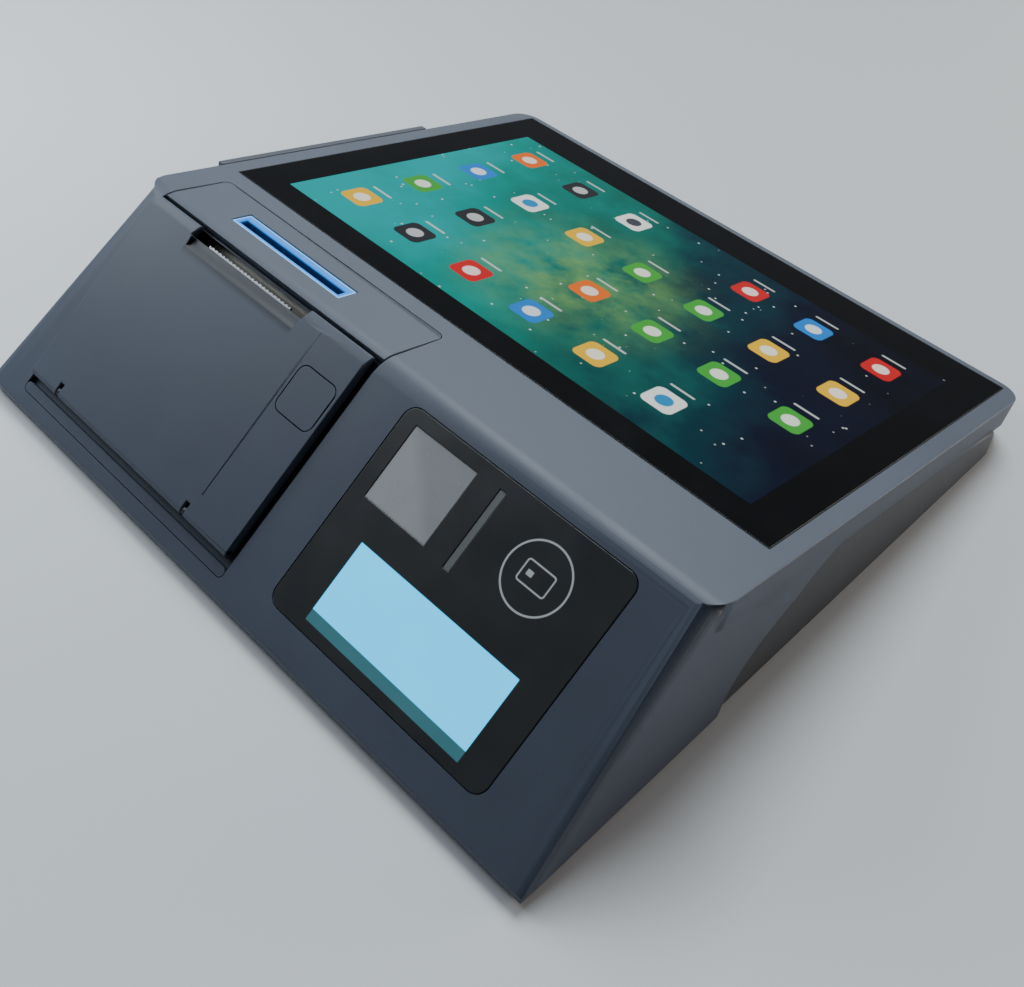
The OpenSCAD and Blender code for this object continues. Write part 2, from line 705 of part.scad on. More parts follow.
// Turn that puts a tooth of one gear into a gap of the next, along the line between them
line_1 = 270 - idler_lean + 2 * idler_lean;
line_2 = 270 - pinion_lean;

module platen_gear() {
    color("ivory") gear_at(platen_u, platen_n, platen_teeth, shaft_d, line_1);
}

module idler_gear() {
    color("ivory") gear_at(idler_u, idler_n, idler_teeth, stud_d + 0.1, line_1 + 180 + idler_turn);
}

module motor_pinion() {
    idler_phase = line_1 + 180 + idler_turn;
    pitch = 360 / idler_teeth;
    past = (line_2 - idler_phase) / pitch - floor((line_2 - idler_phase) / pitch);
    color("gold") gear_at(pinion_u, pinion_n, pinion_teeth, 2,
        line_2 + 180 + 180 / pinion_teeth + past * 360 / pinion_teeth);
}

module paper_motor() {
    color("#8c9096") {
        face_rod(frame_xr + frame_t, frame_xr + frame_t + motor_l, pinion_u, pinion_n, motor_d);
        face_rod(gear_x, frame_xr + frame_t + eps, pinion_u, pinion_n, 2 - 0.1);
    }
}

// Steel side plates that carry the drive, with a stud for the idler
module mechanism_frame() {
    side = [[-6, cover_top - ridge_z], [26, cover_top - ridge_z], [26, -22], [22, -15],
        [0, -11], [-6, -14]];
    color("#b4b8bd") difference() {
        union() {
            for (x = [frame_xl, frame_xr])
                translate([x, ridge_y, ridge_z]) rotate([90, 0, 90]) linear_extrude(frame_t) polygon(side);
            translate([frame_xl, ridge_y + 26 - frame_t, cover_top + 8])
                cube([frame_xr - frame_xl + frame_t, frame_t, ridge_z - 22 - cover_top - 8]);
            face_rod(gear_x, frame_xr + eps, idler_u, idler_n, stud_d);
        }
        face_rod(frame_xr - 1, frame_xr + frame_t + 1, pinion_u, pinion_n, 3);
    }
}

// The heating head faces the platen, tilted along the paper's path
module on_head() {
    on_face() translate([0, -platen_u, platen_n]) rotate([head_angle, 0, 0]) children();
}

module print_head() {
    color("#e9e4d4") on_head()
        translate([print_x - roller_l / 2, -4.5, -platen_d / 2 - 0.3 - head_t]) cube([roller_l, 9, head_t]);
}

module head_heatsink() {
    color("#a7abb0") on_head()
        translate([frame_xl + frame_t, -6, -platen_d / 2 - 0.3 - head_t - sink_t])
            cube([print_x + roller_l / 2 - frame_xl - frame_t, 12, sink_t]);
}

module paper_cradle() {
    half = paper_w / 2 + 2.5;
    roll_y = ridge_y - roll_u * cos(face_slope) - roll_n * sin(face_slope);
    color("#33363d") difference() {
        union() {
            face_rod(print_x - half, print_x + half, roll_u, roll_n, roll_d + 2 * run_gap + 2 * cradle_t);
            translate([print_x - half + 6, roll_y - 9, cover_top]) cube([2 * half - 12, 18, 5]);
        }
        face_rod(print_x - paper_w / 2 - 1, print_x + paper_w / 2 + 1, roll_u, roll_n,
            roll_d + 2 * run_gap);
        translate([-deck_w, front_y, roll_z - roll_d * 0.18]) cube([2 * deck_w, 2 * deck_len, ridge_z]);
    }
}

module paper_roll() {
    color("#f4f3ee") difference() {
        face_rod(print_x - paper_w / 2, print_x + paper_w / 2, roll_u, roll_n, roll_d);
        face_rod(print_x - paper_w, print_x + paper_w, roll_u, roll_n, core_d);
    }
}

module paper_core() {
    color("#b08d62") difference() {
        face_rod(print_x - paper_w / 2, print_x + paper_w / 2, roll_u, roll_n, core_d);
        face_rod(print_x - paper_w, print_x + paper_w, roll_u, roll_n, core_bore);
    }
}

module release_button() {
    mid_x = bx0 + button_size / 2;
    mid_u = button_u0 + button_size / 2;
    color("#454b5a") union() {
        face_plate(bx0, bx0 + button_size, button_u0, button_u0 + button_size,
            panel_raise - 4, panel_raise, button_r);
        on_face() translate([mid_x, -mid_u, door_n0 - cup_depth - 1])
            cylinder(d = stem_d, h = cup_depth + 2);
    }
}

module customer_window() {
    color("#101113") difference() {
        face_plate(window_x + fit_gap, window_x + window_w - fit_gap,
            window_u + fit_gap, window_u + window_l - fit_gap, -window_t, 0, window_r - fit_gap);
        face_block(scan_x, scan_x + scan_size, scan_u, scan_u + scan_size, -2 * window_t, 1);
        face_block(bar_x - bar_w / 2, bar_x + bar_w / 2, bar_u, bar_u + bar_l, -2 * window_t, 1);
    }
}

module scan_window() {
    color("#8a8c8f") face_block(scan_x + 0.1, scan_x + scan_size - 0.1,
        scan_u + 0.1, scan_u + scan_size - 0.1, -window_t, -0.2);
}

module scanner_module() {
    mid_x = scan_x + scan_size / 2;
    mid_u = scan_u + scan_size / 2;
    color("#2a2c30") difference() {
        face_block(scan_x + 1, scan_x + scan_size - 1, scan_u + 1, scan_u + scan_size - 1,
            -window_t - 13, -window_t);
        on_face() translate([mid_x, -mid_u, -window_t - 6]) cylinder(d = 9, h = 10);
        for (s = [-1, 1])
            on_face() translate([mid_x + s * 8, -mid_u, -window_t - 3]) cylinder(d = 5, h = 10);
    }
}

module status_light_bar() {
    color("#9fb0ae") face_block(bar_x - bar_w / 2 + 0.1, bar_x + bar_w / 2 - 0.1,
        bar_u + 0.1, bar_u + bar_l - 0.1, -wall, -0.2);
}

module customer_display() {
    color("#86d3ea") face_block(cust_x, cust_x + cust_w, cust_u, cust_u + cust_l,
        -window_t - cust_t, -window_t);
}

module card_tap_antenna() {
    color("#1f6b3a") difference() {
        face_block(tap_x - antenna_size / 2, tap_x + antenna_size / 2,
            tap_u - antenna_size / 2 + 2, tap_u + antenna_size / 2 - 2, -wall - board_t, -wall);
        face_block(tap_x - 9, tap_x + 9, tap_u - 9, tap_u + 9, -2 * wall - board_t, 0);
    }
}

// Swipe rail on the deck's left side: an outer wall on a floor, with the slot between
rail_w = foot_flare;

module card_swipe_rail() {
    color("#454b59") difference() {
        deck_block(side_x - rail_w, side_x, rail_v, rail_v + rail_l, -deck_t + 1, -0.6);
        deck_block(side_x - swipe_gap, side_x + 1, rail_v - 1, rail_v + rail_l + 1, -0.6 - swipe_depth, 1);
    }
}

module card_read_head() {
    mid = rail_v + rail_l / 2;
    color("silver") deck_block(side_x, side_x + wall + 1, mid - 8 + fit_gap, mid + 8 - fit_gap,
        -10 + fit_gap, -4 - fit_gap);
}

module main_board() {
    color("#1f6b3a") difference() {
        union() {
            translate([board_x0, board_y0, board_z]) cube([board_w, board_l, board_t]);
            // Packages on the board
            for (p = [[60, 20, 14], [84, 22, 10], [100, 60, 12], [60, 66, 9]])
                translate([board_x0 + p[0], board_y0 + p[1], board_z]) cube([p[2], p[2], board_t + 1.5]);
        }
        for (p = standoff_places) translate([p[0], p[1], board_z - 1]) cylinder(d = 3.2, h = 10);
    }
}

module processor_heatsink() {
    x0 = board_x0 + 36;
    y0 = board_y0 + 36;
    color("#9aa0a6") union() {
        translate([x0, y0, board_z + board_t]) cube([28, 28, 2]);
        for (i = [0:5]) translate([x0 + i * 5.2, y0, board_z + board_t]) cube([2, 28, 7]);
    }
}

// A socket body on the board's edge, open towards the left side
module socket(s, depth) {
    translate([board_x0 - 1, s[0], socket_z]) cube([depth, s[1], s[2]]);
}

module usb_sockets() {
    color("silver") difference() {
        socket(usb, 17);
        for (i = [0, 1]) difference() {
            translate([board_x0 - 2, usb[0] + 0.5, socket_z + 0.9 + i * 6.9])
                cube([13, usb[1] - 1, 5.2]);
            translate([board_x0 - 2, usb[0] + 1.3, socket_z + 3.9 + i * 6.9])
                cube([13, usb[1] - 2.6, 1.8]);
        }
    }
}

module network_socket() {
    color("silver") difference() {
        socket(lan, 21);
        translate([board_x0 - 2, lan[0] + 2.1, socket_z + 3]) cube([14, lan[1] - 4.2, 8]);
    }
}

module drawer_socket() {
    color("#1a1b1d") difference() {
        socket(drawer, 18);
        translate([board_x0 - 2, drawer[0] + 1.8, socket_z + 2.5]) cube([13, drawer[1] - 3.6, 7.6]);
    }
}

module power_socket() {
    mid_y = jack[0] + jack[1] / 2;
    mid_z = socket_z + jack[2] / 2;
    color("#1a1b1d") difference() {
        socket(jack, 14);
        translate([board_x0 - 2, mid_y, mid_z]) rotate([0, 90, 0]) difference() {
            cylinder(d = 6.4, h = 10);
            cylinder(d = 2, h = 10);
        }
    }
}

// The power button stands proud of the leaning wall by its travel and a little more
button_x = -rear_foot_w / 2 + rear_lean * (power_z - foot_h) - power_travel - 0.8;

module power_button() {
    color("#5a6170") translate([button_x, power_y, power_z]) rotate([0, 90, 0]) union() {
        cylinder(d = power_d, h = 9);
        translate([0, 0, 9 - eps]) cylinder(d = 3, h = 5);
    }
}

module speaker() {
    color("#202226") translate([speaker_x, speaker_y, cover_top]) union() {
        cylinder(d = speaker_d, h = 3);
        translate([0, 0, 3 - eps]) cylinder(d1 = speaker_d - 6, d2 = speaker_d * 0.5, h = 6);
        translate([0, 0, 9 - 2 * eps]) cylinder(d = speaker_d * 0.5, h = 5);
    }
}

upper_housing();
bottom_cover();
rubber_feet();
cover_screws();
touch_glass();
display_module();
display_bracket();
printer_top_cover();
light_guide();
light_board();
printer_frame();
printer_door();
door_hinge_pins();
tear_bar();
platen_roller();
platen_shaft();
platen_gear();
idler_gear();
motor_pinion();
paper_motor();
mechanism_frame();
print_head();
head_heatsink();
paper_cradle();
paper_roll();
paper_core();
release_button();
customer_window();
scan_window();
scanner_module();
status_light_bar();
customer_display();
card_tap_antenna();
card_swipe_rail();
card_read_head();
main_board();
processor_heatsink();
usb_sockets();
network_socket();
drawer_socket();
power_socket();
power_button();
speaker();
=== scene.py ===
import math
import bpy
from mathutils import Matrix, Vector


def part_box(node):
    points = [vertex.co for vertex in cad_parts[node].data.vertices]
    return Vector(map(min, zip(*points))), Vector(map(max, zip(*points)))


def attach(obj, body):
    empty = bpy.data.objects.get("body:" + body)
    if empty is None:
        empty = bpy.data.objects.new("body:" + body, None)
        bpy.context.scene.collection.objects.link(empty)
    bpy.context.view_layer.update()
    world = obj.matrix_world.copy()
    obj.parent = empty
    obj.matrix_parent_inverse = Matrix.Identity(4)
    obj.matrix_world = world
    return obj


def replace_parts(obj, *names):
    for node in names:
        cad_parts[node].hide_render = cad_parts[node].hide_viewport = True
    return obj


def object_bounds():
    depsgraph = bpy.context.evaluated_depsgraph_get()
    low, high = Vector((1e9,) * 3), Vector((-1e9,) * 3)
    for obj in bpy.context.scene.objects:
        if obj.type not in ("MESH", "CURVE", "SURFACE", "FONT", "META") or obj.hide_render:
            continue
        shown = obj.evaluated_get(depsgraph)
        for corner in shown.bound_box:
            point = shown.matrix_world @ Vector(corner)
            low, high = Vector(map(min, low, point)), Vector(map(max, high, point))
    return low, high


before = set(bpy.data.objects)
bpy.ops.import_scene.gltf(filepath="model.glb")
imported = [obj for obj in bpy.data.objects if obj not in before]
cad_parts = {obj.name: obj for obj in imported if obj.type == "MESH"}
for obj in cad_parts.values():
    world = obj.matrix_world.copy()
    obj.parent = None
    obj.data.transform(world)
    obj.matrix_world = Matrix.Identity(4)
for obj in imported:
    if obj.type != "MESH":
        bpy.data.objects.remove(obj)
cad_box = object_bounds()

# The studio: a pale seamless floor and backdrop, a broad high key light from behind on the
# left, a near fill on the left, a low rim light at the right, and a view from above one corner.
scene = bpy.context.scene
forward = Vector((-0.4434, 0.5151, -0.7336)).normalized()
upward = Vector((-0.5505, 0.4894, 0.6764))
sideways = forward.cross(upward).normalized()
upward = sideways.cross(forward)
lens = bpy.data.cameras.new("camera")
lens.lens = 41.44
lens.sensor_width = 36.0
lens.clip_start = 0.01
camera = bpy.data.objects.new("camera", lens)
camera.matrix_world = Matrix.Translation((0.2108, -0.2437, 0.3016)) @ Matrix(
    (sideways, upward, -forward)).transposed().to_4x4()
scene.collection.objects.link(camera)
scene.camera = camera


def stand_light(light, place, aim):
    """Stands a light at a place and turns it the way it shines."""
    stand = bpy.data.objects.new(light.name, light)
    stand.location = place
    stand.rotation_mode = "QUATERNION"
    stand.rotation_quaternion = Vector(aim).to_track_quat("-Z", "Y")
    scene.collection.objects.link(stand)


def soft_box(name, place, target, width, height, power, colour):
    """A studio soft box that stands at a place and shines at a target."""
    light = bpy.data.lights.new(name, "AREA")
    light.shape = "RECTANGLE"
    light.size, light.size_y = width, height
    light.energy, light.color = power, colour
    stand_light(light, place, Vector(target) - Vector(place))


key = bpy.data.lights.new("key_light", "SUN")
key.energy, key.angle, key.color = 2.9, 0.5, (0.84, 0.94, 1.0)
stand_light(key, (0, 0, 1), (0.48, -0.80, -1.0))
soft_box("fill_light", (-0.40, -0.14, 0.32), (-0.11, -0.06, 0.04), 0.30, 0.30, 1.5, (0.84, 0.93, 1.0))
soft_box("rim_light", (0.62, 0.86, 0.26), (0.12, 0.0, 0.02), 0.5, 0.3, 5.2, (1.0, 0.91, 0.82))


def feed(tree, socket, value):
    """Links a socket, or sets a plain value on an input."""
    if isinstance(value, bpy.types.NodeSocket):
        tree.links.new(value, socket)
    else:
        socket.default_value = value


def spread(tree, value, low, high, to_low, to_high, kind="LINEAR"):
    """Stretches one range of values onto another and holds it at both ends."""
    stretch = tree.nodes.new("ShaderNodeMapRange")
    stretch.interpolation_type = kind
    for socket, number in zip(stretch.inputs, (value, low, high, to_low, to_high)):
        feed(tree, socket, number)
    return stretch.outputs[0]


# The room glows softly from the left; past the floor's edge the view shows a plain backdrop.
left_glow, right_glow = 0.19, 0.02
world = bpy.data.worlds.new("studio")
world.use_nodes = True
tree = world.node_tree
heading = tree.nodes.new("ShaderNodeSeparateXYZ")
tree.links.new(tree.nodes.new("ShaderNodeTexCoord").outputs["Generated"], heading.inputs[0])
around = tree.nodes["Background"]
around.inputs["Color"].default_value = (0.85, 0.90, 1.0, 1)
feed(tree, around.inputs["Strength"], spread(tree, heading.outputs[0], -1.0, 1.0, left_glow, right_glow))
backdrop = tree.nodes.new("ShaderNodeBackground")
backdrop.inputs["Color"].default_value = (0.484, 0.549, 0.59, 1)
chooser = tree.nodes.new("ShaderNodeMixShader")
tree.links.new(tree.nodes.new("ShaderNodeLightPath").outputs["Is Camera Ray"], chooser.inputs[0])
tree.links.new(around.outputs[0], chooser.inputs[1])
tree.links.new(backdrop.outputs[0], chooser.inputs[2])
tree.links.new(chooser.outputs[0], tree.nodes["World Output"].inputs["Surface"])
scene.world = world


def shader(name):
    """A new material with its node tree and its main shader."""
    material = bpy.data.materials.new(name)
    material.use_nodes = True
    tree = material.node_tree
    return material, tree, tree.nodes["Principled BSDF"]


def mix_colour(tree, amount, first, second):
    """The first colour where the amount is 0 and the second where it is 1."""
    mixer = tree.nodes.new("ShaderNodeMix")
    mixer.data_type = "RGBA"
    for socket, value in zip((mixer.inputs[0], mixer.inputs[6], mixer.inputs[7]), (amount, first, second)):
        feed(tree, socket, value)
    return mixer.outputs[2]


def noise(tree, vector, scale, detail=2.0, rough=0.5):
    """A noise texture's value."""
    texture = tree.nodes.new("ShaderNodeTexNoise")
    feed(tree, texture.inputs["Vector"], vector)
    feed(tree, texture.inputs["Scale"], scale)
    texture.inputs["Detail"].default_value = detail
    texture.inputs["Roughness"].default_value = rough
    return texture.outputs["Fac"]


def object_place(tree):
    """The point on the piece, in metres."""
    return tree.nodes.new("ShaderNodeTexCoord").outputs["Object"]


floor_size = 60.0
bpy.ops.object.select_all(action="DESELECT")
bpy.ops.mesh.primitive_plane_add(size=floor_size, location=(0, 0, cad_box[0].z))
floor = bpy.context.active_object
floor.name = "floor"
bpy.ops.object.transform_apply(location=True, rotation=True, scale=True)
floor_paper, tree, main = shader("floor_paper")
cloud = noise(tree, object_place(tree), 1.3, 3.0)
feed(tree, main.inputs["Base Color"], mix_colour(
    tree, cloud, (0.70, 0.71, 0.72, 1), (0.76, 0.765, 0.77, 1)))
main.inputs["Roughness"].default_value = 0.85
floor.data.materials.append(floor_paper)

# The upper housing: one thick-walled moulding in slate ABS with a fine spark-eroded
# texture. It is the wedge's face, its side walls and the rim round the screen.
screen_tilt, face_slope = math.radians(12.5), math.radians(37.7)
face_length, front_lip = 0.0905, 0.005
housing_low, housing_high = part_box("upper_housing")
ridge = Vector((0, housing_low.y + face_length * math.cos(face_slope),
                front_lip + face_length * math.sin(face_slope)))


def calc(tree, operation, *values):
    """One step of arithmetic between sockets and numbers."""
    step = tree.nodes.new("ShaderNodeMath")
    step.operation = operation
    for socket, value in zip(step.inputs, values):
        feed(tree, socket, value)
    return step.outputs[0]


def paint(red, green, blue):
    """A colour as a picture shows it, 0 to 255, turned into light."""
    return tuple(((c / 255 + 0.055) / 1.055) ** 2.4 if c > 10 else c / 255 / 12.92
                 for c in (red, green, blue)) + (1.0,)


def panel_place(tree, turn):
    """The point in millimetres from the ridge, turned to lie along the deck or the face."""
    mapping = tree.nodes.new("ShaderNodeMapping")
    mapping.inputs["Scale"].default_value = (1000, 1000, 1000)
    mapping.inputs["Rotation"].default_value = (turn, 0, 0)
    mapping.inputs["Location"].default_value = -1000 * (Matrix.Rotation(turn, 3, "X") @ ridge)
    tree.links.new(object_place(tree), mapping.inputs["Vector"])
    parts = tree.nodes.new("ShaderNodeSeparateXYZ")
    tree.links.new(mapping.outputs[0], parts.inputs[0])
    return mapping.outputs[0], parts.outputs[0], parts.outputs[1], parts.outputs[2]


def grain_group():
    """Moulded plastic: fine texture from the tool, faint flow clouds and settled dust."""
    group = bpy.data.node_groups.new("moulded_grain", "ShaderNodeTree")
    group.interface.new_socket("Vector", in_out="INPUT", socket_type="NodeSocketVector")
    for name in ("Grain", "Cloud"):
        group.interface.new_socket(name, in_out="INPUT", socket_type="NodeSocketFloat")
    for name in ("Height", "Tone", "Dust"):
        group.interface.new_socket(name, in_out="OUTPUT", socket_type="NodeSocketFloat")
    entry, out = group.nodes.new("NodeGroupInput"), group.nodes.new("NodeGroupOutput")
    place = entry.outputs["Vector"]
    fine = noise(group, place, entry.outputs["Grain"], 3.0, 0.6)
    cloud = noise(group, place, entry.outputs["Cloud"], 3.0, 0.55)
    speck = noise(group, place, calc(group, "MULTIPLY", entry.outputs["Grain"], 0.45), 1.0, 0.4)
    feed(group, out.inputs["Height"], fine)
    feed(group, out.inputs["Tone"], calc(group, "ADD", calc(group, "MULTIPLY", cloud, 0.7),
                                         calc(group, "MULTIPLY", fine, 0.3)))
    feed(group, out.inputs["Dust"], spread(group, speck, 0.70, 0.76, 0, 1))
    return group


moulded_grain = grain_group()


def bump(tree, main, height, strength, distance=0.0001):
    """Turns a height into small relief on the shader's normal."""
    relief = tree.nodes.new("ShaderNodeBump")
    relief.inputs["Strength"].default_value = strength
    relief.inputs["Distance"].default_value = distance
    feed(tree, relief.inputs["Height"], height)
    tree.links.new(relief.outputs["Normal"], main.inputs["Normal"])


def plastic(name, colour, rough, grain=2600.0, cloud=22.0, relief=0.25, contrast=0.12, dust=0.02):
    """A textured moulding in one colour, with its own grain size and gloss."""
    material, tree, main = shader(name)
    grains = tree.nodes.new("ShaderNodeGroup")
    grains.node_tree = moulded_grain
    grains.inputs["Grain"].default_value = grain
    grains.inputs["Cloud"].default_value = cloud
    tree.links.new(object_place(tree), grains.inputs["Vector"])
    tone, dusty = grains.outputs["Tone"], grains.outputs["Dust"]
    dark = tuple(c * (1 - contrast) for c in colour[:3]) + (1,)
    light = tuple(c * (1 + contrast) for c in colour[:3]) + (1,)
    base = mix_colour(tree, spread(tree, tone, 0.3, 0.7, 0, 1), dark, light)
    base = mix_colour(tree, calc(tree, "MULTIPLY", dusty, dust), base, (0.5, 0.5, 0.48, 1))
    feed(tree, main.inputs["Base Color"], base)
    feed(tree, main.inputs["Roughness"], spread(tree, tone, 0.3, 0.7, rough - 0.05, rough + 0.05))
    bump(tree, main, grains.outputs["Height"], relief)
    return material


def overpaint(material, mask, colour):
    """Covers a material's own colour where the mask is 1."""
    tree = material.node_tree
    base = tree.nodes["Principled BSDF"].inputs["Base Color"]
    feed(tree, base, mix_colour(tree, mask, base.links[0].from_socket, colour))


def select_only(piece):
    """Leaves one object selected and active."""
    bpy.ops.object.select_all(action="DESELECT")
    piece.select_set(True)
    bpy.context.view_layer.objects.active = piece


def whole_copy(node, name):
    """A copy of a CAD node with its loose triangles joined into whole faces."""
    piece = bpy.data.objects.new(name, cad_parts[node].data.copy())
    scene.collection.objects.link(piece)
    select_only(piece)
    bpy.ops.object.mode_set(mode="EDIT")
    bpy.ops.mesh.select_mode(type="EDGE")
    bpy.ops.mesh.select_all(action="SELECT")
    bpy.ops.mesh.remove_doubles(threshold=0.00002)
    bpy.ops.mesh.dissolve_limited(angle_limit=math.radians(0.4))
    bpy.ops.object.mode_set(mode="OBJECT")
    piece.data.materials.clear()
    return piece


def soften(piece, width, crisp=lambda middle: False, steps=3, angle=28.0):
    """Rounds the sharp edges of a piece, apart from crisp ones, and evens its shading."""
    select_only(piece)
    bpy.ops.object.mode_set(mode="EDIT")
    bpy.ops.mesh.select_mode(type="EDGE")
    bpy.ops.mesh.select_all(action="DESELECT")
    bpy.ops.mesh.edges_select_sharp(sharpness=math.radians(angle))
    bpy.ops.object.mode_set(mode="OBJECT")
    corners = piece.data.vertices
    weights = piece.data.attributes.new("bevel_weight_edge", "FLOAT", "EDGE")
    for edge, weight in zip(piece.data.edges, weights.data):
        first, second = (corners[i].co for i in edge.vertices)
        long_enough = (first - second).length > 2 * width
        weight.value = float(edge.select and long_enough and not crisp((first + second) / 2))
    edges = piece.modifiers.new("soft_edges", "BEVEL")
    edges.width = width
    edges.segments = steps
    edges.limit_method = "WEIGHT"
    edges.use_clamp_overlap = False
    bpy.ops.object.modifier_apply(modifier="soft_edges")
    bpy.ops.object.shade_smooth_by_angle(angle=math.radians(35))
    even = piece.modifiers.new("even_shading", "WEIGHTED_NORMAL")
    even.keep_sharp = True
    bpy.ops.object.modifier_apply(modifier="even_shading")
    return piece


def square_sum(tree, first, second):
    """The sum of two values' squares."""
    return calc(tree, "ADD", calc(tree, "MULTIPLY", first, first), calc(tree, "MULTIPLY", second, second))


slate = paint(71, 78, 92)
housing_plastic = plastic("housing_plastic", slate, 0.5)
# Inside the side recess behind the column the plastic is painted a darker grey as painted shade, with a
# coarser mottle.
column_back, column_curve, column_rise = housing_low.y + 0.150, 0.066, 0.0307
recess_foot, deck_rim, rim_lap = 0.001, 11.0, 0.1
tree = housing_plastic.node_tree
over = panel_place(tree, screen_tilt)[3]
parts = tree.nodes.new("ShaderNodeSeparateXYZ")
tree.links.new(object_place(tree), parts.inputs[0])
behind = calc(tree, "DIVIDE", calc(tree, "SUBTRACT", column_back, parts.outputs[1]), column_curve)
behind = calc(tree, "MAXIMUM", behind, 0.0)
raised = calc(tree, "DIVIDE", calc(tree, "SUBTRACT", parts.outputs[2], recess_foot), column_rise)
bow = calc(tree, "MULTIPLY", square_sum(tree, behind, raised), calc(tree, "GREATER_THAN", behind, 0.0))
below_rim = calc(tree, "LESS_THAN", over, -deck_rim - rim_lap)
painted_recess_shade = calc(tree, "MULTIPLY", calc(tree, "LESS_THAN", bow, 1.0), below_rim)
coarse = noise(tree, object_place(tree), 900.0, 3.0, 0.6)
# Painted shade: the recess takes a darker, greyer colour than the slate round it.
overpaint(housing_plastic, painted_recess_shade, mix_colour(tree, coarse, paint(55, 57, 61), paint(69, 71, 75)))
# Edges inside the shell, round the sockets and at the rim's ends are left sharp.
wall_x, corner_x, corner_v, corner_n = 120.0, 127.5, (2.5, 6.0), -3.3
mouths_y, mouths_z, rim_reach = (-0.02, 0.06), (0.011, 0.030), 0.8
skin, inner_low = 1.5, 0.004
face_normal = Vector((0, -math.sin(face_slope), math.cos(face_slope)))


def stays_crisp(middle):
    """Whether a point lies inside the shell, at a socket's mouth or where the deck's rim runs out."""
    spot = Matrix.Rotation(screen_tilt, 3, "X") @ (middle - ridge) * 1000
    if abs(spot.x) > wall_x:
        corner = abs(spot.x) > corner_x and corner_v[0] < spot.y < corner_v[1] and spot.z < corner_n
        in_row = mouths_y[0] < middle.y < mouths_y[1] and mouths_z[0] < middle.z < mouths_z[1]
        return corner or (spot.x < 0 and in_row) or abs(spot.z + deck_rim) < rim_reach
    behind_face = (middle - ridge).dot(face_normal) * 1000
    return max(spot.z, behind_face) < -skin and middle.z > inner_low


housing = soften(whole_copy("upper_housing", "housing_shell"), 0.0004, stays_crisp)
# The column's front foot corners are drawn out nearly square.
foot_round, foot_top, foot_square, foot_least = 0.008, 0.006, 0.9, 0.0001
for vertex in housing.data.vertices:
    side = math.copysign(1, vertex.co.x)
    corner = Vector((side * (housing_high.x - foot_round), housing_low.y + foot_round, vertex.co.z))
    out = vertex.co - corner
    if vertex.co.z < foot_top and min(out.x * side, -out.y) > foot_least:
        vertex.co = corner + out * (1 + foot_square * (out.length / max(out.x * side, -out.y) - 1))
housing.data.materials.append(housing_plastic)
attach(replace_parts(housing, "upper_housing"), "chassis")

# The bottom cover: a flat moulded tray in the same slate ABS, closing the housing from
# below, held by four pan-head screws that stand in wells above the feet.
bottom_plastic = plastic("bottom_plastic", paint(50, 53, 60), 0.55, grain=1800.0)


def finish_nodes(material, *names):
    """Gives carried-over CAD nodes a finish in place of the plain one."""
    for name in names:
        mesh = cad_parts[name].data
        mesh.materials.clear()
        mesh.materials.append(material)


finish_nodes(bottom_plastic, "bottom_cover")


def brushed_group():
    """Drawn or ground metal: long fine lines, and a slower drift of tone."""
    group = bpy.data.node_groups.new("brushed_lines", "ShaderNodeTree")
    for name in ("Vector", "Stretch"):
        group.interface.new_socket(name, in_out="INPUT", socket_type="NodeSocketVector")
    for name in ("Lines", "Tone"):
        group.interface.new_socket(name, in_out="OUTPUT", socket_type="NodeSocketFloat")
    entry, out = group.nodes.new("NodeGroupInput"), group.nodes.new("NodeGroupOutput")
    drawn = group.nodes.new("ShaderNodeVectorMath")
    drawn.operation = "MULTIPLY"
    group.links.new(entry.outputs["Vector"], drawn.inputs[0])
    group.links.new(entry.outputs["Stretch"], drawn.inputs[1])
    feed(group, out.inputs["Lines"], noise(group, drawn.outputs[0], 1.0, 4.0, 0.65))
    feed(group, out.inputs["Tone"], noise(group, entry.outputs["Vector"], 60.0, 2.0))
    return group


brushed_lines = brushed_group()


def metal(name, colour, rough, stretch):
    """Bare metal whose fine lines run along the axis with the smallest stretch."""
    material, tree, main = shader(name)
    lines = tree.nodes.new("ShaderNodeGroup")
    lines.node_tree = brushed_lines
    lines.inputs["Stretch"].default_value = stretch
    tree.links.new(object_place(tree), lines.inputs["Vector"])
    dark = tuple(c * 0.82 for c in colour[:3]) + (1,)
    feed(tree, main.inputs["Base Color"], mix_colour(tree, lines.outputs["Lines"], dark, colour))
    feed(tree, main.inputs["Roughness"],
         spread(tree, lines.outputs["Tone"], 0.3, 0.7, rough - 0.06, rough + 0.08))
    main.inputs["Metallic"].default_value = 1.0
    bump(tree, main, lines.outputs["Lines"], 0.15)
    return material


screw_steel = metal("screw_steel", (0.55, 0.55, 0.56, 1), 0.35, (900, 900, 300))
finish_nodes(screw_steel, "cover_screws")

# The feet: four soft rubber pads, moulded with a matt skin and glued into shallow seats
# under the bottom cover, so that the terminal doesn't slide on a counter.
finish_nodes(plastic("foot_rubber", paint(28, 28, 29), 0.82, grain=1500.0, relief=0.5), "rubber_feet")

# The main board and what stands on it: a green four-layer board, its processor under a
# black anodised heat sink, and the row of sockets that shows in the left wall.
board_face, tree, main = shader("board_face")
place = object_place(tree)
tracks = tree.nodes.new("ShaderNodeTexBrick")
tracks.inputs["Scale"].default_value = 130.0
tracks.inputs["Mortar Size"].default_value = 0.08
tracks.inputs["Color1"].default_value = (0, 0, 0, 1)
tracks.inputs["Color2"].default_value = (0.15, 0.15, 0.15, 1)
tracks.inputs["Mortar"].default_value = (1, 1, 1, 1)
tree.links.new(place, tracks.inputs["Vector"])
lacquer = mix_colour(tree, tracks.outputs["Color"], paint(16, 62, 40), paint(34, 96, 60))
feed(tree, main.inputs["Base Color"], lacquer)
feed(tree, main.inputs["Roughness"], spread(tree, noise(tree, place, 300.0), 0.3, 0.7, 0.28, 0.42))
bump(tree, main, tracks.outputs["Color"], 0.2)
finish_nodes(board_face, "main_board", "light_board", "card_tap_antenna")
